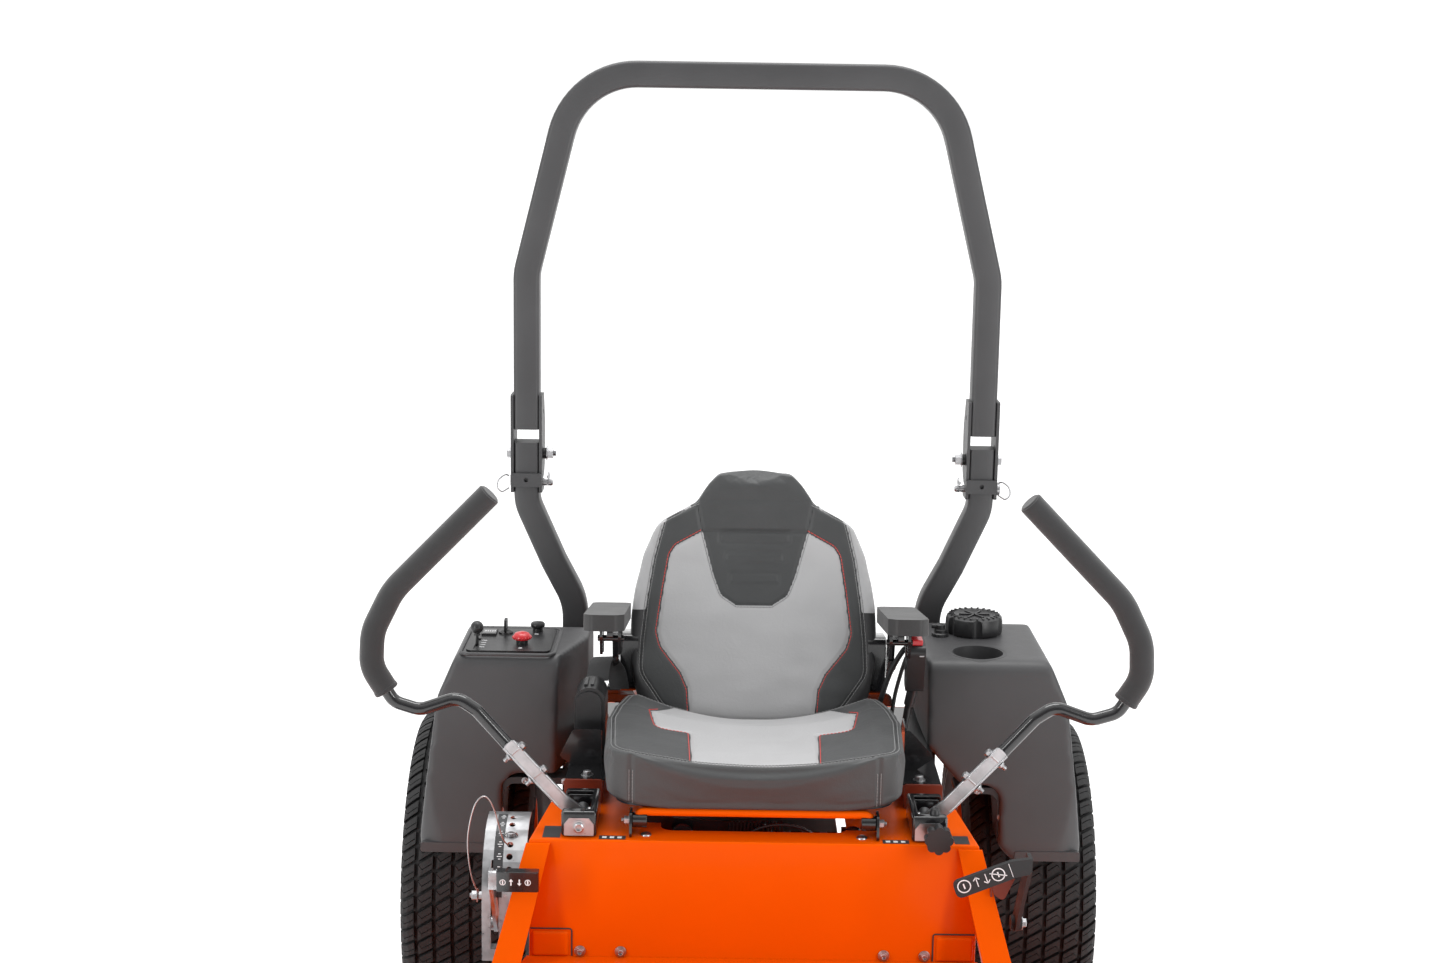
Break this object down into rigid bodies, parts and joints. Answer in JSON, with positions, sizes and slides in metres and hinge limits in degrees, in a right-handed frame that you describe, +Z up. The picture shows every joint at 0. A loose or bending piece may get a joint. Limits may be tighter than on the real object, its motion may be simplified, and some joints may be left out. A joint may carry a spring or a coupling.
{
  "type": "riding lawn mower",
  "caption": "Zero-turn riding mower with folding roll bar, high-back seat, twin swing-in control levers, fender console, fuel tank and side-discharge deck.",
  "frame": {"origin": "middle of the machine's footprint, on the floor", "axes": "+X towards the operator's left, +Y towards the rear, +Z up"},
  "size_m": [1.62, 2.0918, 1.8499],
  "materials": {
    "orange_paint": "gloss powder coat",
    "charcoal_coat": "fine textured powder coat",
    "moulded_plastic": "rotomoulded, lightly grained",
    "black_plastic": "satin moulded plastic",
    "black_paint": "gloss black paint",
    "zinc": "bright zinc plate",
    "foam_grip": "closed-cell foam",
    "seat_vinyl": "grained vinyl with stitched seams",
    "red_plastic": "gloss",
    "tyre_rubber": "turf tread rubber",
    "cast_metal": "cast and machined",
    "blade_steel": "ground edges"
  },
  "bodies": {
    "chassis": {"left_frame_rail": "orange_paint", "right_frame_rail": "orange_paint", "front_axle_beam": "orange_paint", "engine_plate": "orange_paint", "rear_guard": "orange_paint", "seat_box": "orange_paint", "leg_well": "orange_paint", "right_fender_console": "moulded_plastic", "control_panel": "black_plastic", "left_fuel_tank": "moulded_plastic", "left_rops_post": "charcoal_coat", "right_rops_post": "charcoal_coat", "engine_block": "cast_metal", "air_cleaner": "black_plastic", "muffler": "black_paint", "left_transaxle": "cast_metal", "right_transaxle": "cast_metal", "left_lever_housing": "black_paint", "right_lever_housing": "black_paint", "height_plate": "zinc"},
    "fuel_filler_cap": {"fuel_cap": "black_plastic"},
    "throttle": {"throttle_lever": "black_plastic"},
    "choke": {"choke_knob": "black_plastic"},
    "blade_switch": {"pto_knob": "red_plastic"},
    "key": {"ignition_key": "black_plastic"},
    "roll_hoop": {"rops_hoop": "charcoal_coat"},
    "left_hoop_pin": {"left_lock_pin": "zinc"},
    "right_hoop_pin": {"right_lock_pin": "zinc"},
    "seat_base": {"seat_frame": "orange_paint"},
    "seat": {"seat_cushion": "seat_vinyl", "seat_backrest": "seat_vinyl", "seat_belt_retractor": "black_plastic", "seat_belt_buckle": "black_plastic"},
    "left_armrest": {"left_armrest_pad": "black_plastic", "left_armrest_arm": "black_paint"},
    "right_armrest": {"right_armrest_pad": "black_plastic", "right_armrest_arm": "black_paint"},
    "left_pivot": {"left_pivot_block": "zinc"},
    "right_pivot": {"right_pivot_block": "zinc"},
    "left_lever": {"left_control_lever": "black_paint", "left_lever_grip": "foam_grip"},
    "right_lever": {"right_control_lever": "black_paint", "right_lever_grip": "foam_grip"},
    "tracking_adjuster": {"tracking_knob": "black_plastic"},
    "parking_brake": {"parking_brake_lever": "black_plastic"},
    "deck_release": {"deck_lift_lever": "zinc"},
    "cut_height_pin": {"height_pin": "zinc"},
    "left_drive_wheel": {"left_rear_tyre": "tyre_rubber", "left_rear_rim": "orange_paint"},
    "right_drive_wheel": {"right_rear_tyre": "tyre_rubber", "right_rear_rim": "orange_paint"},
    "left_caster": {"left_caster_fork": "black_paint"},
    "right_caster": {"right_caster_fork": "black_paint"},
    "left_front_wheel": {"left_caster_wheel": "tyre_rubber"},
    "right_front_wheel": {"right_caster_wheel": "tyre_rubber"},
    "deck": {"mower_deck": "orange_paint"},
    "chute": {"discharge_chute": "black_plastic"},
    "left_cutter": {"left_blade": "blade_steel"},
    "centre_cutter": {"centre_blade": "blade_steel"},
    "right_cutter": {"right_blade": "blade_steel"}
  },
  "joints": [
    {"name": "fuel_cap_turn", "type": "hinge", "parent": "chassis", "child": "fuel_filler_cap", "pos_m": [0.53, 0.259, 0.82], "axis": [0, 0, 1], "continuous": true},
    {"name": "throttle_swing", "type": "hinge", "parent": "chassis", "child": "throttle", "pos_m": [-0.371, 0.114, 0.775], "axis": [1, 0, 0], "range_deg": [-25, 25]},
    {"name": "choke_pull", "type": "slide", "parent": "chassis", "child": "choke", "axis": [0, 0, 1], "range_m": [0, 0.025]},
    {"name": "blade_switch_pull", "type": "slide", "parent": "chassis", "child": "blade_switch", "axis": [0, 0, 1], "range_m": [0, 0.02]},
    {"name": "key_turn", "type": "hinge", "parent": "chassis", "child": "key", "pos_m": [-0.328, 0.189, 0.82], "axis": [0, 0, 1], "range_deg": [0, 90]},
    {"name": "roll_hoop_fold", "type": "hinge", "parent": "chassis", "child": "roll_hoop", "pos_m": [0.12, 0.389, 1.122], "axis": [1, 0, 0], "range_deg": [-95, 0]},
    {"name": "left_hoop_pin_pull", "type": "slide", "parent": "chassis", "child": "left_hoop_pin", "axis": [1, 0, 0], "range_m": [0, 0.1]},
    {"name": "right_hoop_pin_pull", "type": "slide", "parent": "chassis", "child": "right_hoop_pin", "axis": [-1, 0, 0], "range_m": [0, 0.1]},
    {"name": "seat_tilt", "type": "hinge", "parent": "chassis", "child": "seat_base", "pos_m": [0.12, -0.311, 0.652], "axis": [1, 0, 0], "range_deg": [0, 50]},
    {"name": "seat_adjust", "type": "slide", "parent": "seat_base", "child": "seat", "axis": [0, 1, 0], "range_m": [-0.02, 0.06]},
    {"name": "left_armrest_lift", "type": "hinge", "parent": "seat", "child": "left_armrest", "pos_m": [0.37, 0.127, 0.792], "axis": [1, 0, 0], "range_deg": [-85, 0]},
    {"name": "right_armrest_lift", "type": "hinge", "parent": "seat", "child": "right_armrest", "pos_m": [-0.13, 0.127, 0.792], "axis": [1, 0, 0], "range_deg": [-85, 0]},
    {"name": "left_drive_swing", "type": "hinge", "parent": "chassis", "child": "left_pivot", "pos_m": [0.397, -0.271, 0.65], "axis": [1, 0, 0], "range_deg": [-12, 12]},
    {"name": "right_drive_swing", "type": "hinge", "parent": "chassis", "child": "right_pivot", "pos_m": [-0.157, -0.271, 0.65], "axis": [1, 0, 0], "range_deg": [-12, 12]},
    {"name": "left_lever_park", "type": "hinge", "parent": "left_pivot", "child": "left_lever", "pos_m": [0.397, -0.271, 0.65], "axis": [0, 1, 0], "range_deg": [-18, 0]},
    {"name": "right_lever_park", "type": "hinge", "parent": "right_pivot", "child": "right_lever", "pos_m": [-0.157, -0.271, 0.65], "axis": [0, 1, 0], "range_deg": [0, 18]},
    {"name": "tracking_knob_turn", "type": "hinge", "parent": "chassis", "child": "tracking_adjuster", "pos_m": [0.409, -0.367, 0.648], "axis": [0, 1, 0], "continuous": true},
    {"name": "parking_brake_swing", "type": "hinge", "parent": "chassis", "child": "parking_brake", "pos_m": [0.54, -0.341, 0.501], "axis": [1, 0, 0], "range_deg": [0, 20]},
    {"name": "deck_release_swing", "type": "hinge", "parent": "chassis", "child": "deck_release", "pos_m": [-0.29, -0.328, 0.481], "axis": [1, 0, 0], "range_deg": [-10, 10]},
    {"name": "cut_height_pin_pull", "type": "slide", "parent": "chassis", "child": "cut_height_pin", "axis": [0, -0.5, 0.866], "range_m": [0, 0.05]},
    {"name": "left_drive_wheel_spin", "type": "hinge", "parent": "chassis", "child": "left_drive_wheel", "pos_m": [0.64, 0.389, 0.305], "axis": [1, 0, 0], "continuous": true},
    {"name": "right_drive_wheel_spin", "type": "hinge", "parent": "chassis", "child": "right_drive_wheel", "pos_m": [-0.4, 0.389, 0.305], "axis": [1, 0, 0], "continuous": true},
    {"name": "left_caster_swivel", "type": "hinge", "parent": "chassis", "child": "left_caster", "pos_m": [0.58, -0.941, 0.4], "axis": [0, 0, 1], "continuous": true},
    {"name": "right_caster_swivel", "type": "hinge", "parent": "chassis", "child": "right_caster", "pos_m": [-0.34, -0.941, 0.4], "axis": [0, 0, 1], "continuous": true},
    {"name": "left_front_wheel_spin", "type": "hinge", "parent": "left_caster", "child": "left_front_wheel", "pos_m": [0.58, -0.881, 0.165], "axis": [1, 0, 0], "continuous": true},
    {"name": "right_front_wheel_spin", "type": "hinge", "parent": "right_caster", "child": "right_front_wheel", "pos_m": [-0.34, -0.881, 0.165], "axis": [1, 0, 0], "continuous": true},
    {"name": "deck_height", "type": "slide", "parent": "chassis", "child": "deck", "axis": [0, 0, 1], "range_m": [-0.04, 0.04]},
    {"name": "chute_lift", "type": "hinge", "parent": "deck", "child": "chute", "pos_m": [-0.58, -0.291, 0.213], "axis": [0, 1, 0], "range_deg": [0, 55]},
    {"name": "left_cutter_spin", "type": "hinge", "parent": "deck", "child": "left_cutter", "pos_m": [0.56, -0.261, 0.117], "axis": [0, 0, 1], "continuous": true},
    {"name": "centre_cutter_spin", "type": "hinge", "parent": "deck", "child": "centre_cutter", "pos_m": [0.12, -0.381, 0.117], "axis": [0, 0, 1], "continuous": true},
    {"name": "right_cutter_spin", "type": "hinge", "parent": "deck", "child": "right_cutter", "pos_m": [-0.32, -0.261, 0.117], "axis": [0, 0, 1], "continuous": true}
  ],
  "couplings": [
    {"joint": "deck_release_swing", "follows": "deck_height", "rad_per_m": -4.36},
    {"joint": "left_cutter_spin", "follows": "centre_cutter_spin", "ratio": 1},
    {"joint": "right_cutter_spin", "follows": "centre_cutter_spin", "ratio": 1}
  ]
}
